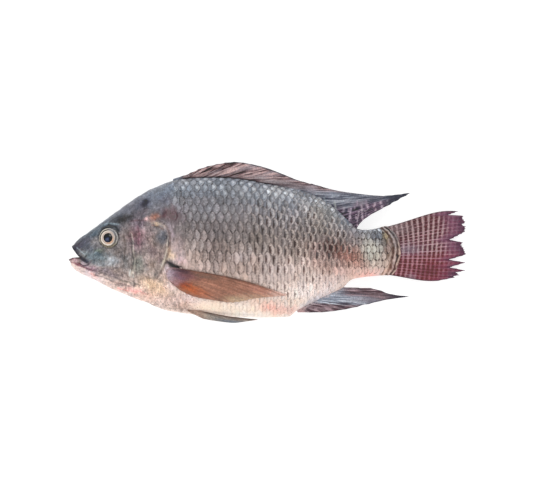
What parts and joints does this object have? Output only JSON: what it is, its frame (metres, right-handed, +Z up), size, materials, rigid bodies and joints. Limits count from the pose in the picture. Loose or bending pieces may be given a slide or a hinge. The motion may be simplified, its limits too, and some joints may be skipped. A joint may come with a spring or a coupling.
{
  "type": "whole raw fish",
  "caption": "Whole raw fish lying on its side: deep scaly body, gill cover, parted jaws, long spiny back fin, folded side and belly fins and a fanned tail.",
  "frame": {"origin": "centre of the fish's outline as seen from above, on the surface that it lies on", "axes": "+X from snout to tail, +Y from belly to back, +Z up, out of the left flank"},
  "size_m": [0.2999, 0.121, 0.0441],
  "materials": {
    "skin": "wet scaly skin, slate grey on the back, taupe with dark scale edges on the flank, cream and pink on the belly",
    "eye": "glossy clear cornea over a near-black pupil and a cream and olive iris with a thin gold ring",
    "dorsal_fin": "thin wet membrane, red-brown with dark slanting streaks in front, blue-grey to dark purple with pale spots behind",
    "anal_fin": "thin wet membrane, pale blue-grey at the body, dark maroon-brown rays and edges",
    "tail_fin": "thin wet membrane, crimson to purple, crossed by pale bars and rays",
    "pectoral_fin": "thin see-through membrane with fine rays, lavender at the root, orange then tan-brown",
    "pelvic_fin": "thin wet membrane, brown front edge, grey to slate blue"
  },
  "bodies": {
    "root": {"body": "skin", "eye_left": "eye", "eye_right": "eye", "dorsal_fin": "dorsal_fin", "anal_fin": "anal_fin", "tail_fin": "tail_fin", "pectoral_fin_left": "pectoral_fin", "pectoral_fin_right": "pectoral_fin", "pelvic_fin_left": "pelvic_fin", "pelvic_fin_right": "pelvic_fin"}
  },
  "joints": []
}
